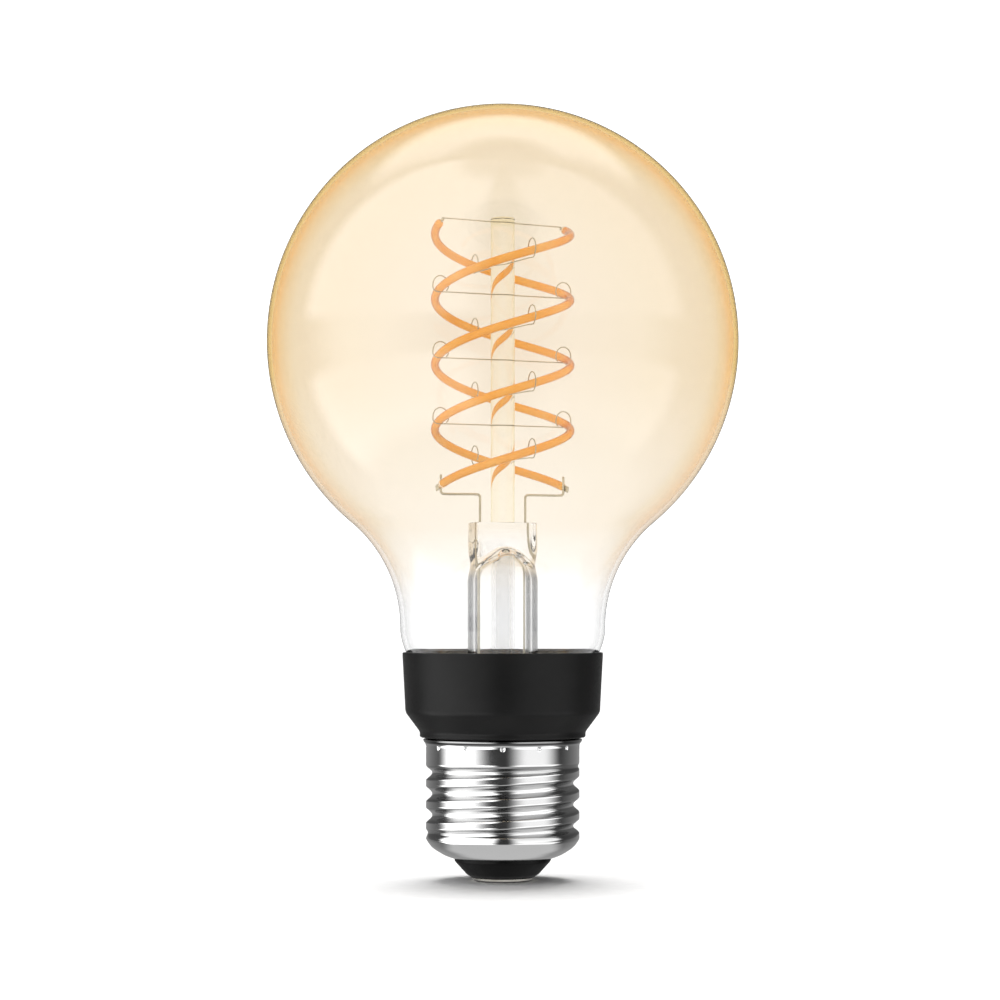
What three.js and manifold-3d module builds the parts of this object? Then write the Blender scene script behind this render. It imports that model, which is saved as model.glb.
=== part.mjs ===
// Connected filament lamp: an 80 mm tinted glass globe with a double spiral of LED strands on a
// glass stem, a matte electronics collar, and an Edison screw cap with its tip contact.
// Millimetres, +Z up. The origin is the middle of the flat face of the tip contact, and the lamp
// stands upright on it. +X is to the right of the front, which faces -Y.

import * as THREE from "three";
import { mergeVertices } from "three/addons/utils/BufferGeometryUtils.js";
import Module from "manifold-3d";

const wasm = await Module();
wasm.setup();

// ---------------------------------------------------------------- driving dimensions

const GAP = 0.3; // air left between neighbouring solids

// Globe
const OVERALL_HEIGHT = 131.5;
const GLOBE_RADIUS = 40;
const GLASS_WALL = 0.8;
const NECK_RADIUS = 17.45;
const NECK_Z = 43.2; // where the neck is narrowest above its rounded lower shoulder
const SHOULDER_RADIAL = 9; // half axes of the ellipse that rounds the neck in under the collar
const SHOULDER_HEIGHT = 9.4;
const SEAL_RADIUS = 13; // where the envelope ends, at the seal with the stem's flare

// Stem, post and exhaust tube
const LEAD_PLANE_DEG = 25; // the plane of the press, the leads and the strand ends
const STEM_RADIUS = 6;
const STEM_BORE = 4.8;
const STEM_DOME_Z = 50.7; // where the tube starts to close, and its height above that
const STEM_DOME_HEIGHT = 7.2;
const BORE_DOME_HEIGHT = 5.9;
const FLARE_BASE_Z = 40.7; // where the tube starts to open out, and its depth below that
const FLARE_DROP = 6.1;
const BORE_FLARE_DROP = 7.2;
const FLARE_RIM_RADIUS = 12.6;
const PRESS_TOP_Z = 61.1;
const PRESS_WIDTH = 10.2;
const PRESS_DEPTH = 5.4;
const POST_RADIUS = 2.05;
const POST_TOP_Z = 112.7;
const EXHAUST_BORE = 1.2;
const EXHAUST_TIP_Z = 29.7;

// Filament
const COIL_RADIUS = 11.62; // to the middle of the strand
const STRAND_RADIUS = 0.7;
const STRAND_TURNS = 2;
const STRAND_BOTTOM_Z = 67;
const STRAND_TOP_Z = 111.4;
const SUPPORTS_PER_TURN = 4;
const FINE_WIRE_RADIUS = 0.15;
const LEAD_RADIUS = 0.2;
const LEAD_OFFSET = 4.25; // of each lead from the axis, inside the press
const LEAD_BEND_Z = 65.6;
const LEAD_TIP_Z = 68.9;

// Collar
const COLLAR_TOP_Z = 38.8;
const COLLAR_BOTTOM_Z = 24.4;
const COLLAR_FLOOR_Z = 25.85;
const SKIRT_RADIUS = 11.4;
const SKIRT_BORE = 10.6;
const SKIRT_END_Z = 8.7;

// Screw cap
const THREAD_PITCH = 3.629; // E27, seven turns to the inch
const THREAD_RADIUS = 13.05;
const THREAD_DEPTH = 1.05;
const GROOVE_Z = 16.6; // height of one groove where it crosses +X
const SHELL_TOP_Z = COLLAR_BOTTOM_Z - GAP;
const SHELL_BORE = 11.7;
const CONTACT_RADIUS = 5.4;

// Electronics
const RADIO_BOARD_Z = COLLAR_FLOOR_Z + GAP;
const BOARD_THICKNESS = 1;
const RADIO_TOP_Z = RADIO_BOARD_Z + BOARD_THICKNESS;
const SOLDER_GAP = 0.1;
const DRIVER_BOARD_FACE = 0.6; // half the driver board's thickness
const PIN_SIDE = 0.4;
const PIN_HOLE_SIDE = 0.8;
const PIN_XS = [-1.905, -0.635, 0.635, 1.905];
const PIN_Y = -2.15;

// ---------------------------------------------------------------- materials

const finish = (color, roughness, metalness, extra = {}) =>
  new THREE.MeshStandardMaterial({ color, roughness, metalness, ...extra });

const tintedGlass = finish("#f7c978", 0.03, 0, { transparent: true, opacity: 0.35 });
const clearGlass = finish("#e9ecec", 0.03, 0, { transparent: true, opacity: 0.35 });
const phosphor = finish("#f9ac50", 0.45, 0);
const nickelWire = finish("#a9a294", 0.3, 1);
const collarPlastic = finish("#242424", 0.6, 0);
const adhesive = finish("#e8e6df", 0.7, 0);
const nickelPlate = finish("#c9c9c7", 0.16, 1);
const blackGlass = finish("#151515", 0.3, 0);
const contactMetal = finish("#b9b6ae", 0.3, 1);
const boardGreen = finish("#1f5b3a", 0.5, 0);
const chipBlack = finish("#1c1d1f", 0.45, 0);
const tinPlate = finish("#c4c6c8", 0.35, 1);
const ferrite = finish("#3a3a3c", 0.7, 0);
const copper = finish("#b4673a", 0.35, 1);
const capacitorSleeve = finish("#23304a", 0.4, 0);
const filmYellow = finish("#d9b23c", 0.5, 0);
const varistorBlue = finish("#2f66a8", 0.5, 0);
const resistorGreen = finish("#6e9a86", 0.6, 0);
const redSleeve = finish("#b3261e", 0.5, 0);
const whiteSleeve = finish("#e4e2dc", 0.5, 0);

// ---------------------------------------------------------------- geometry helpers

const DEG = Math.PI / 180;
const UP = new THREE.Vector3(0, 0, 1);

// Points along a curve of one parameter, ends included.
function sample(count, curve) {
  return Array.from({ length: count + 1 }, (_, i) => curve(i / count));
}

// A turned solid about Z from [radius, height] points that run anticlockwise.
function turned(profile, segments) {
  const points = profile.map(([r, z]) => new THREE.Vector2(r, z));
  return new THREE.LatheGeometry(points, segments).rotateX(Math.PI / 2);
}

function rod(radius, zLow, zHigh, segments, x = 0, y = 0) {
  return new THREE.CylinderGeometry(radius, radius, zHigh - zLow, segments)
    .rotateX(Math.PI / 2)
    .translate(x, y, (zLow + zHigh) / 2);
}

function box([xLow, yLow, zLow], [xHigh, yHigh, zHigh]) {
  return new THREE.BoxGeometry(xHigh - xLow, yHigh - yLow, zHigh - zLow)
    .translate((xLow + xHigh) / 2, (yLow + yHigh) / 2, (zLow + zHigh) / 2);
}

// A route that is stepped exactly at its own points.
class Route extends THREE.Curve {
  constructor(points) {
    super();
    this.points = points.map((p) => new THREE.Vector3(...p));
  }
  getPoint(t, target = new THREE.Vector3()) {
    const last = this.points.length - 1;
    const at = THREE.MathUtils.clamp(t * last, 0, last);
    const i = Math.min(Math.floor(at), last - 1);
    return target.lerpVectors(this.points[i], this.points[i + 1], at - i);
  }
  getPointAt(t, target) {
    return this.getPoint(t, target);
  }
  getTangentAt(t, target = new THREE.Vector3()) {
    const halfStep = 0.5 / (this.points.length - 1);
    const before = this.getPoint(t - halfStep);
    const after = this.getPoint(t + halfStep);
    return target.subVectors(after, before).normalize();
  }
}

// A closed round outline of a number of sides.
function roundOutline(radius, sides) {
  const corners = sample(sides, (t) => t * 2 * Math.PI).slice(0, sides);
  return new THREE.Shape(
    corners.map((a) => new THREE.Vector2(radius * Math.cos(a), radius * Math.sin(a))),
  );
}

// A round wire or strand along a list of [x, y, z] points.
function wire(points, radius, sides) {
  return new THREE.ExtrudeGeometry(roundOutline(radius, sides), {
    extrudePath: new Route(points),
    steps: points.length - 1,
  });
}

// Joining and cutting: three.js geometry to a manifold solid and back.
function toSolid(geometry) {
  const bare = geometry.clone();
  bare.deleteAttribute("normal");
  bare.deleteAttribute("uv");
  const merged = mergeVertices(bare, 1e-4);
  const vertProperties = merged.attributes.position.array;
  const triVerts = new Uint32Array(merged.index.array);
  return new wasm.Manifold(new wasm.Mesh({ numProp: 3, vertProperties, triVerts }));
}

function toGeometry(solid) {
  const { vertProperties, triVerts } = solid.getMesh();
  const geometry = new THREE.BufferGeometry();
  geometry.setAttribute("position", new THREE.BufferAttribute(vertProperties, 3));
  geometry.setIndex(new THREE.BufferAttribute(triVerts, 1));
  geometry.computeVertexNormals();
  return geometry;
}

function cut(body, tools) {
  return toGeometry(tools.reduce((solid, tool) => solid.subtract(toSolid(tool)), toSolid(body)));
}

function add(group, name, geometry, material) {
  const mesh = new THREE.Mesh(geometry, material);
  mesh.name = name;
  group.add(mesh);
}

// ---------------------------------------------------------------- glass envelope

// The outline of the globe and neck, set in from the outer face, from the seal up to the pole.
// A ball, a concave fillet that touches it and the neck, and the elliptical shoulder below.
function globeOutline(inset) {
  const centreZ = OVERALL_HEIGHT - GLOBE_RADIUS;
  const drop = centreZ - NECK_Z;
  const filletRadius =
    (NECK_RADIUS ** 2 + drop ** 2 - GLOBE_RADIUS ** 2) / (2 * (GLOBE_RADIUS - NECK_RADIUS));
  const filletX = NECK_RADIUS + filletRadius;
  const filletArc = Math.atan2(drop, filletX);
  const shoulderX = NECK_RADIUS - SHOULDER_RADIAL;
  const sealAngle = Math.acos((SEAL_RADIUS - shoulderX) / SHOULDER_RADIAL);
  const shoulder = sample(4, (t) => {
    const angle = sealAngle * (1 - t);
    return [
      shoulderX + (SHOULDER_RADIAL - inset) * Math.cos(angle),
      NECK_Z - (SHOULDER_HEIGHT - inset) * Math.sin(angle),
    ];
  });
  const fillet = sample(5, (t) => {
    const angle = filletArc * t;
    return [
      filletX - (filletRadius + inset) * Math.cos(angle),
      NECK_Z + (filletRadius + inset) * Math.sin(angle),
    ];
  });
  const ball = sample(13, (t) => {
    const angle = -filletArc + (filletArc + Math.PI / 2) * t;
    const radius = GLOBE_RADIUS - inset;
    return [t === 1 ? 0 : radius * Math.cos(angle), centreZ + radius * Math.sin(angle)];
  });
  return [...shoulder, ...fillet.slice(1), ...ball.slice(1)];
}

function glassEnvelope() {
  return turned([...globeOutline(GLASS_WALL).reverse(), ...globeOutline(0)], 32);
}

// ---------------------------------------------------------------- stem and its wires
// Everything here is built with the press along X, and the whole mount is turned afterwards.

const mount = new THREE.Group();
mount.rotation.z = LEAD_PLANE_DEG * DEG;

// The trumpet flare, straight tube and domed end of the stem, for its outside or its bore.
function stemProfile(radius, flareDrop, domeHeight) {
  const flare = sample(6, (t) => {
    const angle = (1 - t) * 90 * DEG;
    return [
      FLARE_RIM_RADIUS - (FLARE_RIM_RADIUS - radius) * Math.cos(angle),
      FLARE_BASE_Z - flareDrop * Math.sin(angle),
    ];
  });
  const dome = sample(6, (t) => {
    const angle = t * 90 * DEG;
    return [t === 1 ? 0 : radius * Math.cos(angle), STEM_DOME_Z + domeHeight * Math.sin(angle)];
  });
  return [...flare, ...dome];
}

function pressBlock(zLow, zHigh) {
  const round = 1;
  const x = PRESS_WIDTH / 2 - round;
  const y = PRESS_DEPTH / 2 - round;
  const outline = new THREE.Shape();
  outline.absarc(x, y, round, 0, 90 * DEG);
  outline.absarc(-x, y, round, 90 * DEG, 180 * DEG);
  outline.absarc(-x, -y, round, 180 * DEG, 270 * DEG);
  outline.absarc(x, -y, round, 270 * DEG, 360 * DEG);
  const settings = { depth: zHigh - zLow, bevelEnabled: false, curveSegments: 3 };
  return new THREE.ExtrudeGeometry(outline, settings).translate(0, 0, zLow);
}

// The flare tube with its press, less the bore and the two lead holes that run into it.
function stemFlare() {
  const rimZ = FLARE_BASE_Z - BORE_FLARE_DROP;
  const outside = stemProfile(STEM_RADIUS, FLARE_DROP, STEM_DOME_HEIGHT);
  const inside = stemProfile(STEM_BORE, BORE_FLARE_DROP, BORE_DOME_HEIGHT);
  const body = turned([[0, rimZ], [FLARE_RIM_RADIUS, rimZ], ...outside], 28);
  const bore = turned([[0, rimZ - 1], [FLARE_RIM_RADIUS, rimZ - 1], ...inside], 28);
  const holes = [-1, 1].map((side) => {
    return rod(LEAD_RADIUS + GAP, STEM_DOME_Z, PRESS_TOP_Z + 1, 10, side * LEAD_OFFSET);
  });
  const joined = toSolid(body).add(toSolid(pressBlock(STEM_DOME_Z + 1, PRESS_TOP_Z)));
  return cut(toGeometry(joined), [bore, ...holes]);
}

// The drawn-off exhaust tube: open at the top, pinched shut at its lower tip.
function exhaustTube() {
  const topZ = STEM_DOME_Z + 4.8;
  const taperZ = EXHAUST_TIP_Z + 3;
  return turned([
    [0, EXHAUST_TIP_Z],
    [0.9, EXHAUST_TIP_Z + 0.3],
    [1.6, EXHAUST_TIP_Z + 1.4],
    [POST_RADIUS, taperZ],
    [POST_RADIUS, topZ],
    [EXHAUST_BORE, topZ],
    [EXHAUST_BORE, taperZ],
    [0.7, EXHAUST_TIP_Z + 1.8],
    [0, EXHAUST_TIP_Z + 1.2],
  ], 16);
}

// ---------------------------------------------------------------- filament

const COIL_PITCH = (STRAND_TOP_Z - STRAND_BOTTOM_Z) / STRAND_TURNS;
const SUPPORT_DROP = 1.2; // of a support wire's straight run below the strand that it holds
const BRIDGE_Z = STRAND_TOP_Z + 0.5;

// One strand, a right-handed coil that starts and ends at the same angle.
function strand(startAngle) {
  const stepsPerTurn = 20;
  const route = sample(STRAND_TURNS * stepsPerTurn, (t) => {
    const angle = startAngle + t * STRAND_TURNS * 2 * Math.PI;
    return [
      COIL_RADIUS * Math.cos(angle),
      COIL_RADIUS * Math.sin(angle),
      STRAND_BOTTOM_Z + t * STRAND_TURNS * COIL_PITCH,
    ];
  });
  return wire(route, STRAND_RADIUS, 8);
}

// The height of the strand middle at each quarter turn, counted down from the top.
function stationZ(station) {
  return STRAND_TOP_Z - (station * COIL_PITCH) / SUPPORTS_PER_TURN;
}

// The hook around a strand: [outward, upward] from the strand's middle.
const HOOK = [
  [-1, -SUPPORT_DROP],
  [0.6, -SUPPORT_DROP],
  [1.35, -0.3],
  [1.35, 0.8],
  [0.9, 1.6],
  [0, 1.95],
  [-0.9, 1.6],
  [-1.4, 0.7],
  [-1.35, -0.2],
  [-1, -0.55],
];

// Odd stations run front to back, even ones along the leads.
function supportDirection(station) {
  return station % 2 ? new THREE.Vector3(0, -1, 0) : new THREE.Vector3(1, 0, 0);
}

function supportWire(station) {
  const direction = supportDirection(station);
  const hook = (side) => HOOK.map(([out, up]) => {
    const point = direction.clone().multiplyScalar(side * (COIL_RADIUS + out));
    return [point.x, point.y, stationZ(station) + up];
  });
  return wire([...hook(-1).reverse(), ...hook(1)], FINE_WIRE_RADIUS, 6);
}

// A straight solid glass rod, cross drilled for the wires that are fused into it.
function centrePost() {
  const bore = (direction, z) => {
    const hole = rod(FINE_WIRE_RADIUS + GAP, -POST_RADIUS - 1, POST_RADIUS + 1, 8);
    const turn = new THREE.Quaternion().setFromUnitVectors(UP, direction);
    return hole.applyQuaternion(turn).translate(0, 0, z);
  };
  const supportBores = SUPPORT_STATIONS.map((station) => {
    return bore(supportDirection(station), stationZ(station) - SUPPORT_DROP);
  });
  const body = rod(POST_RADIUS, PRESS_TOP_Z + GAP, POST_TOP_Z, 18);
  return cut(body, [...supportBores, bore(BRIDGE_DIRECTION, BRIDGE_Z)]);
}

const SUPPORT_STATIONS = sample(6, (t) => 1 + Math.round(6 * t));

// The metal end pieces of the strands. At the top they carry the bridge wire, and at the
// bottom the leads stand against them. Each is laid along the strand's own direction.
const TAB_TOP = { length: 1.1, width: 0.9, height: 0.9, radius: COIL_RADIUS };
const TAB_BOTTOM = { length: 1.4, width: 0.3, height: 1, radius: COIL_RADIUS + 0.08 };
const COIL_SLOPE = COIL_PITCH / (2 * Math.PI * COIL_RADIUS);

// side is 1 for strand a at +X and -1 for strand b; along is 1 past the top end, -1 past the
// bottom end.
function tab({ length, width, height, radius }, side, along, endZ) {
  const reach = GAP + length / 2;
  const slope = Math.atan(COIL_SLOPE);
  return new THREE.BoxGeometry(width, length, height)
    .rotateX(side * slope)
    .translate(side * radius, side * along * reach, endZ + along * reach * COIL_SLOPE);
}

const BRIDGE_END_X = COIL_RADIUS - TAB_TOP.width / 2 - GAP;
const BRIDGE_END_Y = GAP + TAB_TOP.length / 2;
const BRIDGE_DIRECTION = new THREE.Vector3(BRIDGE_END_X, BRIDGE_END_Y, 0).normalize();

function bridgeWire() {
  const ends = [-1, 0, 1].map((side) => [side * BRIDGE_END_X, side * BRIDGE_END_Y, BRIDGE_Z]);
  return wire(ends, FINE_WIRE_RADIUS, 6);
}

// From the press up, outwards with two rounded corners, and up past the strand's end.
function innerLead(side) {
  const round = 0.6;
  const half = round * (1 - Math.SQRT1_2);
  const tipX = TAB_BOTTOM.radius - TAB_BOTTOM.width / 2 - GAP - LEAD_RADIUS;
  const tipY = -(GAP + LEAD_RADIUS + 0.05);
  const share = (x) => (tipY * (x - LEAD_OFFSET)) / (tipX - LEAD_OFFSET);
  const route = [
    [LEAD_OFFSET, PRESS_TOP_Z - 2.5],
    [LEAD_OFFSET, LEAD_BEND_Z - round],
    [LEAD_OFFSET + half, LEAD_BEND_Z - half],
    [LEAD_OFFSET + round, LEAD_BEND_Z],
    [tipX - round, LEAD_BEND_Z],
    [tipX - half, LEAD_BEND_Z + half],
    [tipX, LEAD_BEND_Z + round],
    [tipX, LEAD_TIP_Z],
  ];
  return wire(route.map(([x, z]) => [side * x, side * share(x), z]), LEAD_RADIUS, 6);
}

function outerLead(side) {
  const x = side * LEAD_OFFSET;
  const topZ = PRESS_TOP_Z - 2.5 - GAP;
  return wire([[x, 0, LEAD_TERMINAL_TOP_Z + GAP], [x, 0, topZ]], LEAD_RADIUS, 6);
}

// ---------------------------------------------------------------- collar and screw cap

// The outer housing with the shelf for the radio board and the long skirt inside the shell.
function collarHousing() {
  const top = COLLAR_TOP_Z;
  const bottom = COLLAR_BOTTOM_Z;
  return turned([
    [SKIRT_BORE, SKIRT_END_Z],
    [SKIRT_RADIUS, SKIRT_END_Z],
    [SKIRT_RADIUS, bottom],
    [13.9, bottom],
    [14.1, bottom + 0.2],
    [14.1, bottom + 0.95],
    [15.35, bottom + 2.55],
    [16.55, bottom + 4.25],
    [16.75, top - 6],
    [17.05, top - 0.4],
    [17, top],
    [16.8, top],
    [16.4, top - 0.9],
    [15.75, top - 1.8],
    [15.7, top - 5.15],
    [15.2, bottom + 4.55],
    [12.9, COLLAR_FLOOR_Z],
    [SKIRT_BORE, COLLAR_FLOOR_Z],
    [SKIRT_BORE, SKIRT_END_Z],
  ], 36);
}

// The bead of cement that holds the glass in the collar.
function neckAdhesive() {
  const low = COLLAR_TOP_Z - 4.5;
  const high = COLLAR_TOP_Z - 2.5;
  return turned([[13.9, low], [15.35, low], [15.4, high], [14.9, high], [13.9, low]], 32);
}

function smoothstep(low, high, value) {
  return THREE.MathUtils.smoothstep(value, low, high);
}

// How far the rolled thread dips below its crests, at an angle in degrees and a height.
function grooveDepth(angleDeg, z) {
  const turns = (z - GROOVE_Z) / THREAD_PITCH - angleDeg / 360;
  const wave = (1 + Math.cos(2 * Math.PI * turns)) / 2;
  const fade = smoothstep(7.3, 9.1, z) * (1 - smoothstep(18.5, 20.2, z));
  return THREAD_DEPTH * fade * wave ** 1.3;
}

// The plated shell: a rounded foot, the rolled thread, a plain band and a flared rim. Its
// bore is plain.
function screwShell() {
  const foot = [
    [8.6, 3.55], [8.8, 3.8], [10, 4.3], [10.8, 4.8], [11.6, 5.35],
    [12.2, 5.9], [12.6, 6.4], [12.9, 6.9],
  ];
  const threadLow = 7.4;
  const threadHigh = 20.2;
  const rowsPerPitch = 6;
  const rows = Math.round(((threadHigh - threadLow) * rowsPerPitch) / THREAD_PITCH);
  const thread = sample(rows, (t) => [THREAD_RADIUS, threadLow + (threadHigh - threadLow) * t]);
  const rim = [
    [THREAD_RADIUS, SHELL_TOP_Z - 1], [13.2, SHELL_TOP_Z - 0.55], [13.5, SHELL_TOP_Z - 0.3],
    [13.5, SHELL_TOP_Z],
  ];
  const bore = [
    [SHELL_BORE, SHELL_TOP_Z], [SHELL_BORE, 6.9], [11.4, 6.1], [10.7, 5.4], [9.9, 4.75],
    [8.6, 4.05],
  ];
  const shell = turned([...foot, ...thread, ...rim, ...bore, foot[0]], 32);
  const position = shell.attributes.position;
  for (let i = 0; i < position.count; i++) {
    const x = position.getX(i);
    const y = position.getY(i);
    const z = position.getZ(i);
    const radius = Math.hypot(x, y);
    if (radius < SHELL_BORE + 0.5 || z < threadLow || z > threadHigh) continue;
    const scale = 1 - grooveDepth(Math.atan2(y, x) / DEG, z) / radius;
    position.setXYZ(i, x * scale, y * scale, z);
  }
  return shell;
}

// The moulded insulator between the shell and the tip contact.
function capInsulator() {
  const bore = 1.6;
  return turned([
    [bore, 0.9], [5.6, 0.9], [6.4, 1.35], [8.2, 3.4], [8.1, 4.4],
    [9.3, 4.75], [9.3, 6.3], [bore, 6.3], [bore, 0.9],
  ], 30);
}

// The tip contact: a shallow dished button with a rivet shank up into the insulator.
function centreContact() {
  return turned([
    [0, 0], [3.6, 0], [4.8, 0.1], [CONTACT_RADIUS, 0.35], [5.2, 0.6], [1.3, 0.6],
    [1.3, 4.2], [0, 4.2],
  ], 28);
}

// ---------------------------------------------------------------- electronics

const TERMINAL_HEIGHT = 2.2;
const TERMINAL_RADIUS = 0.9;
const LEAD_TERMINAL_TOP_Z = RADIO_TOP_Z + SOLDER_GAP + TERMINAL_HEIGHT;

// The square holes for the header pins, through everything between two heights.
function pinHoles(zLow, zHigh) {
  const half = PIN_HOLE_SIDE / 2;
  return PIN_XS.map((x) => box([x - half, PIN_Y - half, zLow], [x + half, PIN_Y + half, zHigh]));
}

function radioBoard() {
  const disc = rod(12.3, RADIO_BOARD_Z, RADIO_TOP_Z, 32);
  return cut(disc, pinHoles(RADIO_BOARD_Z - 1, RADIO_TOP_Z + 1));
}

// A strip of sheet metal on edge around the back of the radio board.
function antennaStrip() {
  const strip = new THREE.Shape()
    .absarc(0, 0, 11.6, 30 * DEG, 150 * DEG)
    .absarc(0, 0, 11.2, 150 * DEG, 30 * DEG, true);
  const settings = { depth: 2.5, bevelEnabled: false, curveSegments: 12 };
  return new THREE.ExtrudeGeometry(strip, settings).translate(0, 0, RADIO_TOP_Z + SOLDER_GAP);
}

function boardHeader() {
  const [low, high] = [23.3, 25.8];
  const block = box([-3.2, PIN_Y - 1.25, low], [3.2, PIN_Y + 1.25, high]);
  return cut(block, pinHoles(low - 1, high + 1));
}

// A chip, can or block that lies flat on the radio board, centred on x and y.
function onRadioBoard(x, y, width, depth, height) {
  const low = RADIO_TOP_Z + SOLDER_GAP;
  return box([x - width / 2, y - depth / 2, low], [x + width / 2, y + depth / 2, low + height]);
}

// A block that stands off the back of the driver board.
function onDriverBoard(xLow, xHigh, zLow, zHigh, depth) {
  const face = DRIVER_BOARD_FACE + SOLDER_GAP;
  return box([xLow, face, zLow], [xHigh, face + depth, zHigh]);
}

// The electrolytic capacitor, with the crimped groove near its lower end.
function bulkCapacitor() {
  const radius = 3.8;
  return turned([
    [0, 9.7], [3.5, 9.7], [radius, 10], [radius, 10.9], [3.5, 11.2], [radius, 11.5],
    [radius, 20.9], [3.5, 21.2], [0, 21.2],
  ], 20).translate(-4.2, -4.9, 0);
}

const INDUCTOR_X = 4.4;
const INDUCTOR_Y = -4.2;

function inductorCore() {
  return turned([
    [0, 9.2], [3.2, 9.2], [3.2, 10.4], [1.8, 10.4], [1.8, 14.5], [3.2, 14.5], [3.2, 15.7],
    [0, 15.7],
  ], 20).translate(INDUCTOR_X, INDUCTOR_Y, 0);
}

function inductorWinding() {
  const profile = [[2.1, 10.7], [3, 10.7], [3, 14.2], [2.1, 14.2], [2.1, 10.7]];
  return turned(profile, 20).translate(INDUCTOR_X, INDUCTOR_Y, 0);
}

// A lacquered disc on edge, with softened rims.
function surgeVaristor() {
  const back = DRIVER_BOARD_FACE + SOLDER_GAP;
  const profile = [[0, 0], [2.9, 0], [3.25, 0.5], [3.25, 2.1], [2.9, 2.6], [0, 2.6]];
  return turned(profile, 18)
    .rotateX(-Math.PI / 2)
    .translate(-4.2, back, 13.2);
}

// A barrel resistor on end with its axial leads.
function fusibleResistor() {
  const lead = 0.3;
  return turned([
    [0, 7.8], [lead, 7.8], [lead, 9.2], [1.15, 9.3], [1.3, 10], [1.15, 10.7], [1.15, 15.7],
    [1.3, 16.4], [1.15, 17.1], [lead, 17.2], [lead, 18.6], [0, 18.6],
  ], 14).translate(-1, 6.2, 0);
}

const SLEEVED_WIRE_RADIUS = 0.4;

function liveWire() {
  return wire([
    [-1, 6.6, 7], [-1, 6, 7], [-0.8, 4.4, 7], [-0.35, 2, 7.05], [-0.08, 0.75, 6.95],
    [0, 0.15, 6.6], [0, 0, 5.9], [0, 0, 4.55],
  ], SLEEVED_WIRE_RADIUS, 8);
}

function neutralWire() {
  return wire([
    [-8, 1.6, 11], [-8, 1.6, 9], [-8.15, 1.63, 8.25], [-8.7, 1.7, 7.75], [-9.6, 1.9, 7.6],
    [-10.9, 2.15, 7.6],
  ], SLEEVED_WIRE_RADIUS, 8);
}

// ---------------------------------------------------------------- assembly

add(mount, "stem_flare", stemFlare(), clearGlass);
add(mount, "exhaust_tube", exhaustTube(), clearGlass);
add(mount, "centre_post", centrePost(), clearGlass);
for (const [letter, side] of [["a", 1], ["b", -1]]) {
  const startAngle = side > 0 ? 0 : Math.PI;
  add(mount, `filament_strand_${letter}`, strand(startAngle), phosphor);
  add(mount, `filament_tab_top_${letter}`, tab(TAB_TOP, side, 1, STRAND_TOP_Z), nickelWire);
  const bottomTab = tab(TAB_BOTTOM, side, -1, STRAND_BOTTOM_Z);
  add(mount, `filament_tab_bottom_${letter}`, bottomTab, nickelWire);
  add(mount, `inner_lead_${letter}`, innerLead(side), nickelWire);
  add(mount, `outer_lead_${letter}`, outerLead(side), nickelWire);
}
add(mount, "bridge_wire", bridgeWire(), nickelWire);
for (const station of SUPPORT_STATIONS) {
  add(mount, `filament_support_${station}`, supportWire(station), nickelWire);
}

const base = new THREE.Group();
add(base, "collar_housing", collarHousing(), collarPlastic);
add(base, "neck_adhesive", neckAdhesive(), adhesive);
add(base, "screw_shell", screwShell(), nickelPlate);
add(base, "cap_insulator", capInsulator(), blackGlass);
add(base, "centre_contact", centreContact(), contactMetal);

add(base, "radio_board", radioBoard(), boardGreen);
add(base, "radio_shield_can", onRadioBoard(0, -6.9, 9, 6.4, 1.7), tinPlate);
add(base, "radio_crystal", onRadioBoard(-6.5, 2, 3.2, 2.5, 0.8), tinPlate);
add(base, "radio_power_chip", onRadioBoard(6.8, 0.5, 3, 3, 1), chipBlack);
add(base, "antenna_strip", antennaStrip(), tinPlate);
for (const [letter, side] of [["a", 1], ["b", -1]]) {
  const at = new THREE.Vector3(side * LEAD_OFFSET, 0, 0).applyAxisAngle(UP, mount.rotation.z);
  const low = RADIO_TOP_Z + SOLDER_GAP;
  const post = rod(TERMINAL_RADIUS, low, LEAD_TERMINAL_TOP_Z, 12, at.x, at.y);
  add(base, `lead_terminal_${letter}`, post, tinPlate);
}
add(base, "board_header", boardHeader(), chipBlack);
PIN_XS.forEach((x, i) => {
  const half = PIN_SIDE / 2;
  const pin = box([x - half, PIN_Y - half, 22.1], [x + half, PIN_Y + half, 28.1]);
  add(base, `header_pin_${i + 1}`, pin, copper);
});

const driverBoard = box([-9, -DRIVER_BOARD_FACE, 7.9], [9, DRIVER_BOARD_FACE, 25.6]);
add(base, "driver_board", driverBoard, boardGreen);
add(base, "bulk_capacitor", bulkCapacitor(), capacitorSleeve);
add(base, "inductor_core", inductorCore(), ferrite);
add(base, "inductor_winding", inductorWinding(), copper);
add(base, "bridge_rectifier", onDriverBoard(-7, -2.3, 18.2, 22.2, 1.6), chipBlack);
add(base, "driver_ic", onDriverBoard(1.5, 6.5, 18.7, 22.7, 1.5), chipBlack);
add(base, "filter_capacitor", onDriverBoard(0.6, 7.8, 10.7, 17.2, 3.6), filmYellow);
add(base, "surge_varistor", surgeVaristor(), varistorBlue);
add(base, "fusible_resistor", fusibleResistor(), resistorGreen);
add(base, "live_wire", liveWire(), redSleeve);
add(base, "neutral_wire", neutralWire(), whiteSleeve);

const lamp = new THREE.Group();
add(lamp, "glass_envelope", glassEnvelope(), tintedGlass);
lamp.add(mount, base);

export default lamp;
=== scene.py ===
"""The looks of a connected filament lamp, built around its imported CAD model.

Everything is made in the CAD model's own frame: +Z up, the lamp standing on its tip contact at the
origin, and its front towards -Y. Shapes are worked out in millimetres and stored in metres.
"""

import math

import bmesh
import bpy
from mathutils import Matrix, Vector


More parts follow.
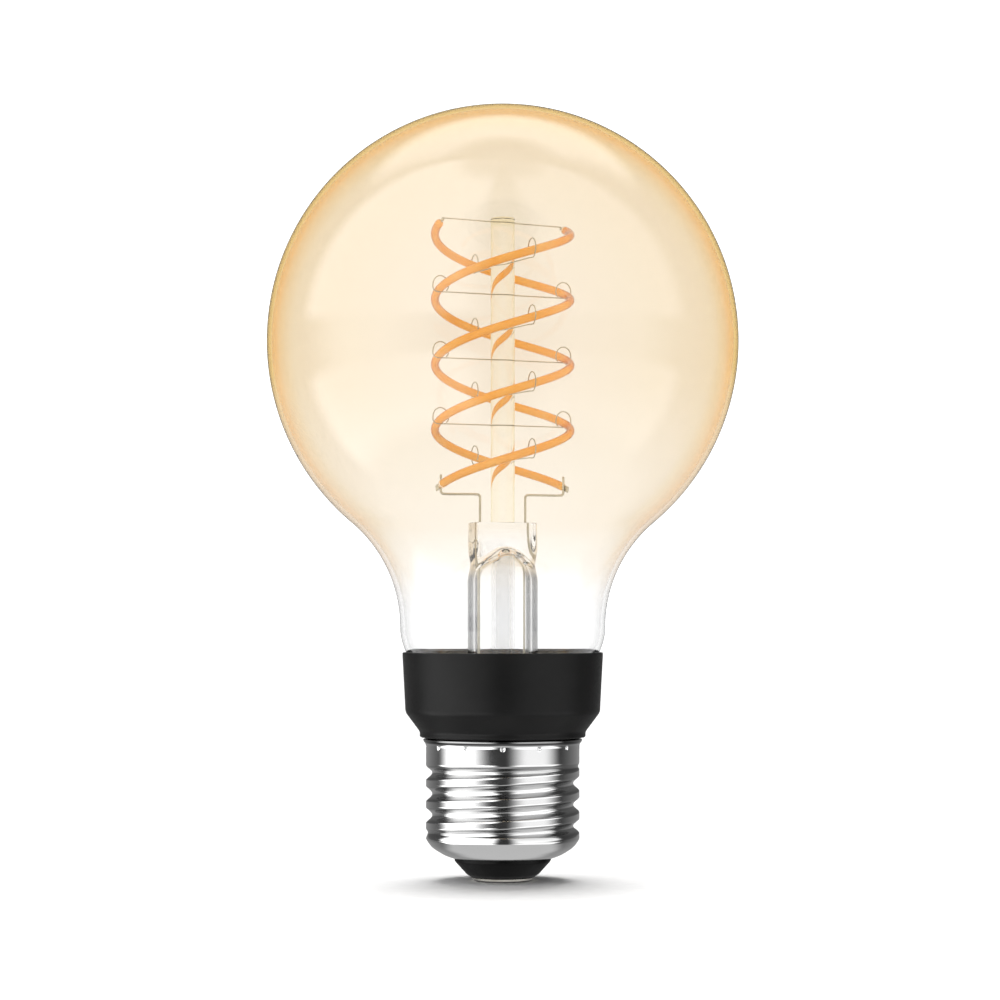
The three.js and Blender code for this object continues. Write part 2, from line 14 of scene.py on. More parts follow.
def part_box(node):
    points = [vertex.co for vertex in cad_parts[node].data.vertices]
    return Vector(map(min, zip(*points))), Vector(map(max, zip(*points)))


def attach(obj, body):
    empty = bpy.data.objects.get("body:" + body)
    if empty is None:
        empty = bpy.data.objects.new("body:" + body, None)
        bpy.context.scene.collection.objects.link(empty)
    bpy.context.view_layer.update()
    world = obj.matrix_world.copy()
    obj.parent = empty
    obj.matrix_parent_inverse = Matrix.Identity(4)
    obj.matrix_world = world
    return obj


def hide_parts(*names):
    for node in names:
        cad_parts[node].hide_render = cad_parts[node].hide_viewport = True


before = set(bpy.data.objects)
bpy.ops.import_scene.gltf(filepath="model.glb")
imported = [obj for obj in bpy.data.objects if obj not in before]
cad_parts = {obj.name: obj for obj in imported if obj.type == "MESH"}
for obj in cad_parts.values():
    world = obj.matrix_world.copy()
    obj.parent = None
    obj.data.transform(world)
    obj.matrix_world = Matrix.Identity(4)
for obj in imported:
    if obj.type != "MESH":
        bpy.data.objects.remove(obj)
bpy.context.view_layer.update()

MM = 0.001
LOW = {node: [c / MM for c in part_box(node)[0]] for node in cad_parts}
HIGH = {node: [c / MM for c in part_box(node)[1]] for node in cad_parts}
X, Y, Z = 0, 1, 2


def middle(node, axis):
    return (LOW[node][axis] + HIGH[node][axis]) / 2


# ---------------------------------------------------------------- driving dimensions, in mm

# Globe
GLOBE_TOP_Z = HIGH["glass_envelope"][Z]
COATING_LOW_Z = 45
COATING_HIGH_Z = 86
GLOBE_RADIUS = 40
GLASS_WALL = 0.8
NECK_RADIUS = 17.45
NECK_Z = 43.2
SHOULDER_RADIAL = 9
SHOULDER_HEIGHT = 9.4
SEAL_RADIUS = 13

# Stem, press, post and exhaust tube
LEAD_PLANE = math.atan2(middle("lead_terminal_a", Y), middle("lead_terminal_a", X))
STEM_RADIUS = 6
STEM_BORE = 4.8
STEM_DOME_Z = 50.7
BORE_DOME_HEIGHT = 5.9
FLARE_BASE_Z = 38.6
FLARE_DROP = 4.3
BORE_FLARE_DROP = 5.1
FLARE_RIM_RADIUS = HIGH["stem_flare"][X]
PRESS_TOP_Z = HIGH["stem_flare"][Z] + 0.3
PRESS_WIDTH = 11.2
PRESS_DEPTH = 5.4
PRESS_EDGE = 0.2
POST_RADIUS = 2.05
POST_TOP_Z = HIGH["centre_post"][Z]
TUBE_TIP_Z = LOW["exhaust_tube"][Z]
TUBE_TOP_Z = HIGH["exhaust_tube"][Z]
TUBE_BORE = 1.2

# Filament
STRAND_RADIUS = 0.7
CORE_RADIUS = 0.6
STRAND_TURNS = 2
COIL_RADIUS = HIGH["filament_strand_a"][X] - STRAND_RADIUS
STRAND_BOTTOM_Z = LOW["filament_strand_a"][Z] + STRAND_RADIUS
STRAND_TOP_Z = HIGH["filament_strand_a"][Z] - STRAND_RADIUS
COIL_SLOPE = (STRAND_TOP_Z - STRAND_BOTTOM_Z) / (STRAND_TURNS * 2 * math.pi * COIL_RADIUS)
SUPPORTS = sorted(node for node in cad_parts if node.startswith("filament_support"))
FINE_WIRE_RADIUS = 0.1
LEAD_RADIUS = 0.2
LEAD_OFFSET = 4.25
LEAD_BEND_Z = 65.6

# Collar and screw cap
COLLAR_TOP_Z = HIGH["collar_housing"][Z]
SKIRT_END_Z = LOW["collar_housing"][Z]
SHELL_TOP_Z = HIGH["screw_shell"][Z]
COLLAR_BOTTOM_Z = SHELL_TOP_Z + 0.3
SHELL_FOOT_Z = LOW["screw_shell"][Z]
THREAD_PITCH = 3.629
THREAD_RADIUS = 13.05
THREAD_DEPTH = 1.05
THREAD_LOW_Z = 7.2
THREAD_HIGH_Z = 20.6
GROOVE_Z = 16.6
GROOVE_HALF_WIDTH = 0.36
DIMPLES = 13
DIMPLE_Z = 22.85
DIMPLE_RADIUS = 0.42
DIMPLE_DEPTH = 0.3
CONTACT_SHADE_TOP_Z = 0.2


# ---------------------------------------------------------------- outlines and routes


def sample(count, curve):
    """Points along a curve of one parameter, both ends included."""
    return [curve(i / count) for i in range(count + 1)]


def smoothstep(low, high, value):
    share = min(max((value - low) / (high - low), 0), 1)
    return share * share * (3 - 2 * share)


def softened(outline, steps=5):
    """A closed outline of (radius, height, softness): each corner is rounded over that length."""
    points = []
    for i, (x, y, softness) in enumerate(outline):
        corner = Vector((x, y))
        before = Vector(outline[i - 1][:2]) - corner
        after = Vector(outline[(i + 1) % len(outline)][:2]) - corner
        reach = min(softness, before.length * 0.48, after.length * 0.48)
        if reach < 1e-3 or x < 1e-6:
            points.append((x, y))
            continue
        start = corner + before.normalized() * reach
        end = corner + after.normalized() * reach
        for share in (i / steps for i in range(steps + 1)):
            a = start.lerp(corner, share)
            b = corner.lerp(end, share)
            points.append(tuple(a.lerp(b, share)))
    return points


def smooth_route(points, steps=6):
    """A Catmull-Rom curve through a list of points."""
    route = [Vector(p) for p in points]
    ends = [2 * route[0] - route[1], *route, 2 * route[-1] - route[-2]]
    curve = []
    for a, b, c, d in zip(ends, ends[1:], ends[2:], ends[3:]):
        for t in (i / steps for i in range(steps)):
            bend = (2 * a - 5 * b + 4 * c - d) * t * t + (3 * b - a - 3 * c + d) * t ** 3
            curve.append(b + ((c - a) * t + bend) / 2)
    return [*curve, route[-1]]


def in_lead_plane(points):
    """Points built with the press along X, turned to where the mount really stands."""
    turn = Matrix.Rotation(LEAD_PLANE, 3, "Z")
    return [turn @ Vector(p) for p in points]


# ---------------------------------------------------------------- meshes


def turned(profile, sides, radius_at=None):
    """A profile of (radius, height), anticlockwise, turned about Z. It closes on itself, unless
    its two ends are on the axis. radius_at(radius, height, angle) may reshape it."""
    vertices, rings, faces = [], [], []
    for radius, height in profile:
        if radius < 1e-6:
            rings.append([len(vertices)] * sides)
            vertices.append((0, 0, height))
            continue
        rings.append(range(len(vertices), len(vertices) + sides))
        for angle in (2 * math.pi * i / sides for i in range(sides)):
            r = radius_at(radius, height, angle) if radius_at else radius
            vertices.append((r * math.cos(angle), r * math.sin(angle), height))
    pairs = list(zip(rings, rings[1:]))
    if profile[0][0] > 1e-6:
        pairs.append((rings[-1], rings[0]))
    for low, high in pairs:
        for i in range(sides):
            j = (i + 1) % sides
            corners = dict.fromkeys((low[i], low[j], high[j], high[i]))
            if len(corners) > 2:
                faces.append(tuple(corners))
    return vertices, faces


def wire(route, radius, sides=12, end_steps=4):
    """A round wire along a route, with domed ends. Its faces look outwards."""
    points = [Vector(p) for p in route]
    tangents = [
        (points[min(i + 1, len(points) - 1)] - points[max(i - 1, 0)]).normalized()
        for i in range(len(points))
    ]
    side = tangents[0].orthogonal().normalized()
    sections = []
    for point, tangent in zip(points, tangents):
        side = (side - side.dot(tangent) * tangent).normalized()
        sections.append((point, side, tangent.cross(side), radius))
    first_axes, last_axes = sections[0][1:3], sections[-1][1:3]
    start, end = points[0], points[-1]

    def dome(point, tangent, axes, angles):
        return [
            (point - tangent * radius * (math.sin(a) - 1), *axes, radius * math.cos(a)) for a in angles
        ]

    quarter = [math.pi / 2 * i / end_steps for i in range(1, end_steps)]
    head = dome(start, tangents[0], first_axes, reversed(quarter))
    tail = dome(end, -tangents[-1], last_axes, quarter)
    first = (start + tangents[0] * radius, *first_axes, radius)
    last = (end - tangents[-1] * radius, *last_axes, radius)
    inner = [
        s for s in sections
        if radius <= (s[0] - start).length and radius <= (s[0] - end).length
    ]
    vertices, faces = [start], []
    for centre, u, v, r in [*head, first, *inner, last, *tail]:
        for angle in (2 * math.pi * i / sides for i in range(sides)):
            vertices.append(centre + r * (math.cos(angle) * u + math.sin(angle) * v))
    vertices.append(end)
    tip = len(vertices) - 1
    for ring in range(1, tip - sides, sides):
        for i in range(sides):
            j = (i + 1) % sides
            faces.append((ring + i, ring + j, ring + sides + j, ring + sides + i))
    for i in range(sides):
        j = (i + 1) % sides
        faces.append((0, 1 + j, 1 + i))
        faces.append((tip, tip - sides + i, tip - sides + j))
    return vertices, faces


def soft_box(size, bevel, place):
    """A box with rounded edges, moved into place by a matrix."""
    box = bmesh.new()
    bmesh.ops.create_cube(box, size=1, matrix=Matrix.Diagonal((*size, 1)))
    bmesh.ops.bevel(box, geom=box.edges[:], offset=bevel, segments=3, affect="EDGES", profile=0.5)
    box.transform(place)
    vertices = [v.co.copy() for v in box.verts]
    faces = [tuple(v.index for v in f.verts) for f in box.faces]
    box.free()
    return vertices, faces


def piece(name, shape, material, slot, *nodes, crease=35):
    """A finished object from vertices and faces in mm: it rides on the root body, stands for the
    CAD nodes named, and is smooth but for edges sharper than crease degrees. Clear pieces let
    light through, so they cast no shadow."""
    vertices, faces = shape
    mesh = bpy.data.meshes.new(name)
    mesh.from_pydata([tuple(c * MM for c in v) for v in vertices], [], faces)
    mesh.validate()
    mesh.shade_smooth()
    mesh.set_sharp_from_angle(angle=math.radians(crease))
    mesh.materials.append(material)
    obj = bpy.data.objects.new(name, mesh)
    obj.visible_shadow = not name.startswith("glass_")
    bpy.context.scene.collection.objects.link(obj)
    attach(obj, "root")
    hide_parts(*nodes)
    return obj


# ---------------------------------------------------------------- material recipes


def colour(code):
    """A linear colour from its usual hexadecimal code."""
    parts = [int(code[i:i + 2], 16) / 255 for i in (1, 3, 5)]
    return [p / 12.92 if p < 0.04045 else ((p + 0.055) / 1.055) ** 2.4 for p in parts] + [1]


class Recipe:
    """A node tree being put together: each call adds one node and gives back its output."""

    def __init__(self, tree):
        self.tree = tree
        self.tree.nodes.clear()

    def add(self, kind, inputs=None, **settings):
        node = self.tree.nodes.new("ShaderNode" + kind)
        for key, value in settings.items():
            setattr(node, key, value)
        for socket, value in (inputs or {}).items():
            if isinstance(value, bpy.types.NodeSocket):
                self.tree.links.new(value, node.inputs[socket])
            else:
                node.inputs[socket].default_value = value
        return node

    def math(self, operation, a, b=0.0):
        return self.add("Math", {0: a, 1: b}, operation=operation).outputs[0]

    def smooth(self, value, low, high, start=0.0, end=1.0):
        """start below low, end above high, and a smooth step between them."""
        inputs = {"Value": value, "From Min": low, "From Max": high, "To Min": start, "To Max": end}
        return self.add("MapRange", inputs, interpolation_type="SMOOTHSTEP").outputs[0]

    def place(self, stretch=(1, 1, 1)):
        """Where a point is in the object, in metres, stretched along the axes."""
        point = self.add("TexCoord").outputs["Object"]
        return self.add("Mapping", {"Vector": point, "Scale": stretch}).outputs[0]

    def height(self):
        point = self.add("TexCoord").outputs["Object"]
        return self.add("SeparateXYZ", {0: point}).outputs["Z"]

    def noise(self, scale, detail=3.0, roughness=0.5, stretch=(1, 1, 1)):
        inputs = {"Scale": scale, "Detail": detail, "Roughness": roughness}
        return self.add("TexNoise", {"Vector": self.place(stretch), **inputs}).outputs["Fac"]

    def ramp(self, share, *stops):
        """A colour ramp of (position, colour) stops."""
        node = self.add("ValToRGB", {"Fac": share})
        elements = node.color_ramp.elements
        while len(elements) < len(stops):
            elements.new(1.0)
        for element, (position, shade) in zip(elements, stops):
            element.position = position
            element.color = shade
        return node.outputs["Color"]

    def mix(self, share, a, b, blend="MIX"):
        inputs = {"Fac": share, "Color1": a, "Color2": b}
        return self.add("MixRGB", inputs, blend_type=blend).outputs[0]

    def share(self, value, low, high):
        """0 at low, 1 at high, and a straight line between them."""
        inputs = {"Value": value, "From Min": low, "From Max": high}
        return self.add("MapRange", inputs).outputs[0]

    def bump(self, height, distance, strength):
        inputs = {"Height": height, "Distance": distance, "Strength": strength}
        return self.add("Bump", inputs).outputs[0]


def material(name, build, **constants):
    """A Principled material: build(recipe) gives its linked sockets, constants the plain ones."""
    made = bpy.data.materials.new(name)
    made.use_nodes = True
    recipe = Recipe(made.node_tree)
    sockets = {
        key.replace("_", " ").title().replace("Ior", "IOR"): value for key, value in constants.items()
    }
    shader = recipe.add("BsdfPrincipled", {**sockets, **build(recipe)})
    recipe.add("OutputMaterial", {"Surface": shader.outputs[0]})
    return made


def grey(value):
    return (value, value, value, 1)


GLASS_IOR = 1.47


def glass(name, build):
    return material(name, build, transmission_weight=1.0, roughness=0.0, ior=GLASS_IOR)


def glass_tint(recipe, *stops):
    """A glass colour that changes towards the rim, where the light's way through is longer; where a
    ramp darkens the rim, that is painted shade.
    """
    facing = recipe.add("LayerWeight", {"Blend": 0.5}).outputs["Facing"]
    return recipe.ramp(facing, *stops)


def tinted_glass():
    """An amber coating on the ball of the globe, which fades to clear glass down the neck. The clear
    glass has painted shade, darker towards its rim.
    """
    def build(recipe):
        amber = glass_tint(
            recipe,
            (0.0, (0.81, 0.755, 0.675, 1)), (0.24, (0.805, 0.74, 0.63, 1)),
            (0.45, (0.80, 0.715, 0.587, 1)), (0.57, (0.813, 0.714, 0.555, 1)),
            (0.66, (0.822, 0.658, 0.416, 1)), (0.74, (0.89, 0.625, 0.322, 1)),
            (0.82, (1.0, 0.51, 0.075, 1)), (1.0, (1.0, 0.5, 0.06, 1)),
        )
        # Painted shade: the clear glass darkens to a deep grey where it is seen edge-on.
        clear = glass_tint(
            recipe,
            (0.0, grey(0.9)), (0.5, grey(0.88)), (0.64, grey(0.81)), (0.76, grey(0.72)),
            (0.88, grey(0.62)), (0.94, grey(0.4)), (1.0, grey(0.2)),
        )
        cloud = recipe.math("MULTIPLY", recipe.math("SUBTRACT", recipe.noise(60), 0.5), 0.006)
        level = recipe.math("ADD", recipe.height(), cloud)
        coating = recipe.ramp(
            recipe.share(level, COATING_LOW_Z * MM, COATING_HIGH_Z * MM),
            (0.0, grey(0)), (0.1, grey(0.06)), (0.22, grey(0.32)), (0.4, grey(0.53)),
            (0.61, grey(0.68)), (1.0, grey(1)),
        )
        return {
            "Base Color": recipe.mix(coating, clear, amber),
            "Normal": recipe.bump(recipe.noise(45, 1), 0.0001, 0.04),
        }

    return glass("tinted_glass", build)


def tube_glass():
    """The slightly grey glass of the exhaust tube, with faint drawing lines."""
    def build(recipe):
        ripple = recipe.noise(160, 2, 0.5, (1, 1, 0.3))
        return {
            "Base Color": glass_tint(recipe, (0.36, grey(0.87)), (0.5, grey(0.85))),
            "Normal": recipe.bump(ripple, 0.0001, 0.2),
        }

    return glass("tube_glass", build)


def post_glass():
    """A drawn rod, a little yellow at its sides and at its fire-polished top."""
    def build(recipe):
        body = glass_tint(
            recipe,
            (0.0, (1.0, 0.99, 0.94, 1)), (0.12, (1.0, 0.97, 0.88, 1)), (0.25, (1.0, 0.99, 0.94, 1)),
            (0.4, (0.99, 0.95, 0.82, 1)), (0.6, (0.92, 0.84, 0.6, 1)), (1.0, (0.82, 0.72, 0.45, 1)),
        )
        cap = recipe.smooth(recipe.height(), (POST_TOP_Z - 1.5) * MM, (POST_TOP_Z - 1.1) * MM)
        streaks = recipe.noise(500, 1, 0.5, (1, 1, 0.02))
        return {
            "Base Color": recipe.mix(cap, body, (0.97, 0.93, 0.74, 1)),
            "Normal": recipe.bump(streaks, 0.0001, 0.1),
        }

    return glass("post_glass", build)


def stem_glass():
    """Clear, with painted shade that makes the walls of the upright tube dark, and tan walls on the
    press above it.
    """
    def build(recipe):
        # Painted shade: the tube's walls go nearly black where they are seen edge-on.
        tube = glass_tint(
            recipe,
            (0.0, grey(0.98)), (0.38, grey(0.95)), (0.46, grey(0.1)), (0.6, grey(0.03)),
            (1.0, grey(0.025)),
        )
        press = glass_tint(
            recipe,
            (0.0, grey(0.98)), (0.33, grey(0.97)), (0.48, (0.62, 0.5, 0.34, 1)),
            (1.0, (0.55, 0.42, 0.27, 1)),
        )
        normal = recipe.add("TexCoord").outputs["Normal"]
        slope = recipe.math("ABSOLUTE", recipe.add("SeparateXYZ", {0: normal}).outputs["Z"])
        walls = recipe.mix(recipe.smooth(slope, 0.25, 0.5), tube, grey(0.97))
        raised = recipe.smooth(
            recipe.height(), (STEM_DOME_Z + 0.8) * MM, (STEM_DOME_Z + 3.8) * MM,
        )
        ripple = recipe.noise(120, 1, 0.5, (1, 1, 0.3))
        return {
            "Base Color": recipe.mix(raised, walls, press),
            "Normal": recipe.bump(ripple, 0.0001, 0.06),
        }

    return glass("stem_glass", build)


def phosphor():
    """Orange phosphor with a faint painted glow: an emission that makes up for the light that it takes
    in.
    """
    def build(recipe):
        grain = recipe.noise(2600, 4, 0.6)
        shade = recipe.ramp(
            recipe.noise(260, 2),
            (0.3, colour("#ffb650")), (0.55, colour("#ffc266")), (0.75, colour("#ffcd7c")),
        )
        speckle = recipe.ramp(grain, (0.35, grey(0.9)), (0.6, grey(1.0)))
        return {
            "Base Color": recipe.mix(0.5, shade, speckle, "MULTIPLY"),
            "Normal": recipe.bump(grain, 0.00003, 0.4),
        }

    # Painted glow: a steady orange emission that brightens the strands.
    return material(
        "phosphor", build, roughness=0.55, specular_ior_level=0.3,
        emission_color=(1.0, 0.46, 0.07, 1), emission_strength=0.36,
    )


def silicone():
    """The clear coat of a strand, amber where it is seen edge-on."""
    def build(recipe):
        tint = glass_tint(
            recipe,
            (0.0, grey(1.0)), (0.6, colour("#fff6e6")), (0.74, colour("#d9a050")),
            (0.88, colour("#94601f")), (1.0, colour("#6b3c12")),
        )
        return {"Base Color": tint, "Normal": recipe.bump(recipe.noise(900, 2), 0.00003, 0.25)}

    return material("silicone_coat", build, transmission_weight=1.0, roughness=0.08, ior=1.2)


def metal(name, shade, dark, roughness, scale, stretch=(1, 1, 1), bump=0.2):
    """Bare or plated metal with handling marks in its gloss and its colour."""
    def build(recipe):
        smears = recipe.noise(scale * 0.25, 4, 0.6, stretch)
        scratches = recipe.noise(scale * 6, 3, 0.7, stretch)
        tone = recipe.ramp(smears, (0.25, colour(dark)), (0.6, colour(shade)))
        gloss = recipe.smooth(smears, 0.3, 0.75, roughness, roughness + 0.12)
        return {
            "Base Color": tone,
            "Roughness": gloss,
            "Normal": recipe.bump(scratches, 0.00002, bump),
        }

    return material(name, build, metallic=1.0)


def contact_metal():
    """A bright rim over an underside painted dark, as painted shade for the contact's shadow on the
    floor.
    """
    def build(recipe):
        marks = recipe.noise(420, 3, 0.6)
        bright = recipe.ramp(marks, (0.3, colour("#c9c5bb")), (0.7, colour("#e4e1da")))
        # Painted shade: the underside, low on the contact, takes this dark tone for its shadow on the
        # floor.
        dark = recipe.ramp(marks, (0.3, colour("#1b1917")), (0.7, colour("#35312c")))
        rim = recipe.smooth(recipe.height(), CONTACT_SHADE_TOP_Z * MM, (CONTACT_SHADE_TOP_Z + 0.1) * MM)
        return {
            "Base Color": recipe.mix(rim, dark, bright),
            "Roughness": recipe.smooth(marks, 0.3, 0.7, 0.2, 0.35),
            "Normal": recipe.bump(marks, 0.00002, 0.1),
        }

    return material("contact_metal", build, metallic=1.0)


def nickel_plate():
    """Bright plating, with painted shade that makes it duller and darker on the walls of the thread
    and under the top flange.
    """
    def build(recipe):
        parts = recipe.add("SeparateXYZ", {0: recipe.place()}).outputs
        squares = [recipe.math("MULTIPLY", parts[axis], parts[axis]) for axis in ("X", "Y")]
        radius = recipe.math("SQRT", recipe.math("ADD", *squares))
        # Painted shade: darker on the walls of the thread's grooves, by how far in from the crests a
        # point lies.
        groove_wall_shade = recipe.ramp(
            recipe.share(radius, (THREAD_RADIUS - 1.15) * MM, (THREAD_RADIUS + 0.05) * MM),
            (0.0, grey(0.86)), (0.3, grey(0.74)), (0.78, grey(0.42)), (0.9, grey(0.5)),
            (0.955, grey(0.87)), (1.0, grey(0.88)),
        )
        above_start = recipe.smooth(
            parts["Z"], (THREAD_LOW_Z - 0.4) * MM, (THREAD_LOW_Z + 1.3) * MM,
        )
        below_end = recipe.smooth(
            parts["Z"], (THREAD_HIGH_Z - 0.8) * MM, (THREAD_HIGH_Z + 0.6) * MM, 1.0, 0.0,
        )
        in_thread = recipe.math("MULTIPLY", above_start, below_end)
        tone = recipe.mix(in_thread, grey(0.87), groove_wall_shade)
        # Painted shade: a dark band just under the top flange, and a darker top edge where the collar
        # meets it.
        flange_shade = recipe.ramp(
            recipe.share(parts["Z"], (SHELL_TOP_Z - 1) * MM, SHELL_TOP_Z * MM),
            (0.0, grey(1.0)), (0.25, grey(1.0)), (0.42, grey(0.14)), (0.68, grey(0.1)),
            (0.8, grey(0.42)), (1.0, grey(0.42)),
        )
        smears = recipe.noise(60, 4, 0.6, (1, 1, 3))
        marks = recipe.ramp(smears, (0.3, grey(0.96)), (0.6, grey(1.0)))
        shade = recipe.mix(1.0, recipe.mix(1.0, tone, flange_shade, "MULTIPLY"), marks, "MULTIPLY")
        scratches = recipe.noise(1100, 3, 0.7, (1, 1, 6))
        return {
            "Base Color": shade,
            "Roughness": recipe.smooth(smears, 0.3, 0.75, 0.1, 0.16),
            "Normal": recipe.bump(scratches, 0.00002, 0.04),
        }

    return material("nickel_plate", build, metallic=1.0)


def moulded(name, shade, dark, roughness, grain=1500, depth=0.00004, strength=0.35, **more):
    """Moulded or dipped plastic and lacquer, with a fine grain and a soft change of tone."""
    def build(recipe):
        cloud = recipe.noise(grain * 0.06, 3)
        texture = recipe.noise(grain, 3, 0.6)
        return {
            "Base Color": recipe.ramp(cloud, (0.3, colour(dark)), (0.7, colour(shade))),
            "Roughness": recipe.smooth(texture, 0.3, 0.7, roughness - 0.05, roughness + 0.07),
            "Normal": recipe.bump(texture, depth, strength),
        }

    return material(name, build, **more)


def circuit_board():
    """Solder mask over copper tracks, with bare pads here and there."""
    def build(recipe):
        cells = recipe.add(
            "TexVoronoi", {"Vector": recipe.place(), "Scale": 520.0},
            feature="DISTANCE_TO_EDGE", distance="MANHATTAN",
        ).outputs["Distance"]
        tracks = recipe.smooth(cells, 0.06, 0.1)
        mask = recipe.mix(tracks, colour("#2f7a50"), colour("#1c5636"))
        dots = recipe.add("TexVoronoi", {"Vector": recipe.place(), "Scale": 380.0}).outputs["Distance"]
        pads = recipe.smooth(dots, 0.1, 0.14, 1.0, 0.0)
        return {
            "Base Color": recipe.mix(pads, mask, colour("#c9b27a")),
            "Metallic": recipe.math("MULTIPLY", pads, 0.8),
            "Normal": recipe.bump(tracks, 0.00003, 0.5),
        }

    return material("circuit_board", build, roughness=0.35)


STEM_GLASS = stem_glass()
TUBE_GLASS = tube_glass()
POST_GLASS = post_glass()
NICKEL_WIRE = metal("nickel_wire", "#cfc7b0", "#b0a893", 0.28, 900)
FINISHES = {
    "tinted_glass": tinted_glass(),
    "clear_glass": TUBE_GLASS,
    "phosphor": phosphor(),
    "nickel_wire": NICKEL_WIRE,
    "collar_plastic": moulded(
        "collar_plastic", "#1a1a1a", "#151515", 0.36, 2600, 0.00003, 0.25, specular_ior_level=0.16,
    ),
    "neck_cement": moulded("neck_cement", "#e9e5da", "#d6cfbf", 0.8, 1400, 0.0001, 0.6),
    "nickel_plate": nickel_plate(),
    "black_glass": moulded(
        "black_glass", "#0a0a0a", "#070707", 0.4, 700, 0.00004, 0.25, specular_ior_level=0.13,
    ),
    "contact_metal": contact_metal(),
    "circuit_board": circuit_board(),
    "chip_plastic": moulded("chip_plastic", "#26272a", "#1a1b1d", 0.55),
    "tin_plate": metal("tin_plate", "#d4d6d8", "#b9bcbf", 0.3, 260),
    "ferrite": moulded("ferrite", "#424245", "#2d2d2f", 0.7, 1900, 0.00008, 0.6),
    "copper": metal("copper", "#c4753f", "#9c5a30", 0.25, 700, (1, 1, 8), 0.8),
    "capacitor_sleeve": moulded("capacitor_sleeve", "#2a3a58", "#1e2a42", 0.35, 500),
    "film_dip": moulded("film_dip", "#e0ba45", "#c9a233", 0.4, 420, 0.0001, 0.4, coat_weight=0.4),
    "varistor_lacquer": moulded("varistor_lacquer", "#3572b5", "#285a94", 0.4, 520, 0.0001, 0.4),
    "resistor_lacquer": moulded("resistor_lacquer", "#7aa692", "#5f8a77", 0.6, 900, 0.00008, 0.4),
    "red_sleeve": moulded("red_sleeve", "#bd2a22", "#a01f19", 0.4, 800),
    "white_sleeve": moulded("white_sleeve", "#e8e6e0", "#d6d3cb", 0.4, 800),
}
SILICONE = silicone()


# ---------------------------------------------------------------- glass envelope


def globe_outline(inset):
    """The outline of shoulder, neck, fillet and ball, set in from the outer face, rim to pole."""
    centre_z = GLOBE_TOP_Z - GLOBE_RADIUS
    drop = centre_z - NECK_Z
    excess = NECK_RADIUS ** 2 + drop ** 2 - GLOBE_RADIUS ** 2
    fillet_radius = excess / (2 * (GLOBE_RADIUS - NECK_RADIUS))
    fillet_x = NECK_RADIUS + fillet_radius
    fillet_arc = math.atan2(drop, fillet_x)
    shoulder_x = NECK_RADIUS - SHOULDER_RADIAL
    seal_angle = math.acos((SEAL_RADIUS - shoulder_x) / SHOULDER_RADIAL)

    def shoulder(t):
        angle = seal_angle * (1 - t)
        radius = shoulder_x + (SHOULDER_RADIAL - inset) * math.cos(angle)
        return radius, NECK_Z - (SHOULDER_HEIGHT - inset) * math.sin(angle)

    def fillet(t):
        radius = fillet_x - (fillet_radius + inset) * math.cos(fillet_arc * t)
        return radius, NECK_Z + (fillet_radius + inset) * math.sin(fillet_arc * t)

    def ball(t):
        angle = -fillet_arc + (fillet_arc + math.pi / 2) * t
        radius = GLOBE_RADIUS - inset
        return (0 if t == 1 else radius * math.cos(angle)), centre_z + radius * math.sin(angle)

    return [*sample(16, shoulder), *sample(28, fillet)[1:], *sample(96, ball)[1:]]


def glass_envelope():
    outer = globe_outline(0)
    inner = globe_outline(GLASS_WALL)
    rim_middle = [(a + b) / 2 for a, b in zip(outer[0], inner[0])]
    rim = (rim_middle[0] - 0.12, rim_middle[1] - 0.35)
    shape = turned([*reversed(inner), rim, *outer], 160)
    piece("glass_globe", shape, FINISHES["tinted_glass"], "tinted_glass", "glass_envelope", crease=60)


# ---------------------------------------------------------------- stem, post and wires


def stem_tube(radius, flare_drop):
    """The trumpet flare and straight tube of the stem, from the rim up."""
    def flare(t):
        angle = (1 - t) * math.pi / 2
        spread = (FLARE_RIM_RADIUS - radius) * math.cos(angle)
        return FLARE_RIM_RADIUS - spread, FLARE_BASE_Z - flare_drop * math.sin(angle)

    def tube(t):
        return radius, FLARE_BASE_Z + (STEM_DOME_Z - FLARE_BASE_Z) * t

    return [*sample(14, flare), *sample(8, tube)[1:]]


def bore_dome(t):
    """The closed top of the stem's bore, from its side to its middle."""
    radius = 0 if t == 1 else STEM_BORE * math.cos(t * math.pi / 2)
    return radius, STEM_DOME_Z + BORE_DOME_HEIGHT * math.sin(t * math.pi / 2)


def pinched_reach(height, angle):
    """How far the stem reaches from the axis above its tube: a round section that flattens into
    the press, a rectangle with rounded corners."""
    narrowing = smoothstep(STEM_DOME_Z, STEM_DOME_Z + 3.3, height)
    flattening = smoothstep(STEM_DOME_Z, PRESS_TOP_Z - 1, height)
    squaring = smoothstep(STEM_DOME_Z + 3, PRESS_TOP_Z - 1, height)
    half_width = STEM_RADIUS + (PRESS_WIDTH / 2 - STEM_RADIUS) * narrowing
    half_depth = STEM_RADIUS + (PRESS_DEPTH / 2 - STEM_RADIUS) * flattening
    sharpness = 2 + 5 * squaring
    along = abs(math.cos(angle - LEAD_PLANE)) / half_width
    across = abs(math.sin(angle - LEAD_PLANE)) / half_depth
    return (along ** sharpness + across ** sharpness) ** (-1 / sharpness)


